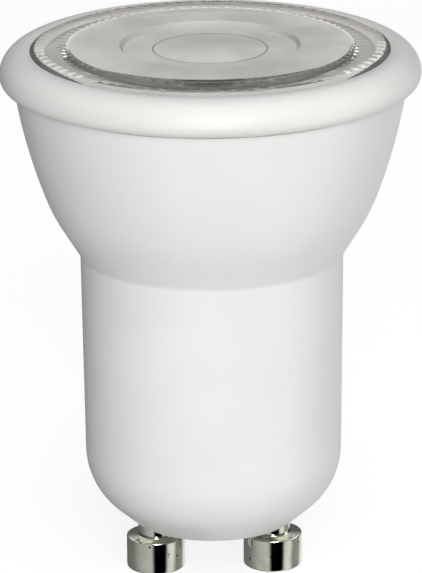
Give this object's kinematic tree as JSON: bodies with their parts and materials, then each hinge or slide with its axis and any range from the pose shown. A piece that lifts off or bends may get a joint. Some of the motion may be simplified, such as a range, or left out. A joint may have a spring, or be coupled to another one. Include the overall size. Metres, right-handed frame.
{
  "type": "spotlight bulb",
  "caption": "White spotlight bulb with a flared cup, a clear collimating lens with a ribbed rim in a bezel ring, and a twist-lock base with two mushroom contact pins.",
  "frame": {"origin": "on the lamp's axis at the flat feet of the two contact pins", "axes": "+Z along the lamp's axis towards the lens, X through both contact pins"},
  "size_m": [0.035, 0.035, 0.0462],
  "materials": {
    "housing_plastic": "satin white moulded plastic",
    "bezel_plastic": "satin white moulded plastic",
    "lens_clear": "clear moulded acrylic",
    "spreader_aluminium": "drawn sheet, satin",
    "pad_grey": "soft silicone",
    "led_board_white": "white solder mask on a metal core",
    "led_ceramic": "matt",
    "phosphor_cream": "silicone with phosphor",
    "screw_steel": "zinc plated",
    "pin_nickel": "nickel plated, bright",
    "board_green": "solder mask on glass-fibre board",
    "capacitor_sleeve": "shrink sleeve",
    "film_yellow": "moulded case",
    "ferrite_dark": "ferrite",
    "coil_copper": "enamelled copper wire",
    "resistor_glaze": "glazed",
    "moulded_black": "moulded epoxy",
    "wire_brown": "insulation",
    "wire_blue": "insulation",
    "wire_red": "insulation",
    "wire_black": "insulation"
  },
  "bodies": {
    "root": {"housing": "housing_plastic", "bezel_ring": "bezel_plastic", "lens": "lens_clear", "heat_spreader": "spreader_aluminium", "thermal_pad": "pad_grey", "led_board": "led_board_white", "led_package": "led_ceramic", "led_phosphor": "phosphor_cream", "board_screws": "screw_steel", "contact_pin_left": "pin_nickel", "contact_pin_right": "pin_nickel", "driver_board": "board_green", "output_capacitor": "capacitor_sleeve", "input_capacitor": "film_yellow", "inductor_core": "ferrite_dark", "inductor_coil": "coil_copper", "fusible_resistor": "resistor_glaze", "bridge_rectifier": "moulded_black", "driver_chip": "moulded_black", "chip_resistors": "moulded_black", "live_wire": "wire_brown", "neutral_wire": "wire_blue", "led_wire_plus": "wire_red", "led_wire_minus": "wire_black"}
  },
  "joints": []
}
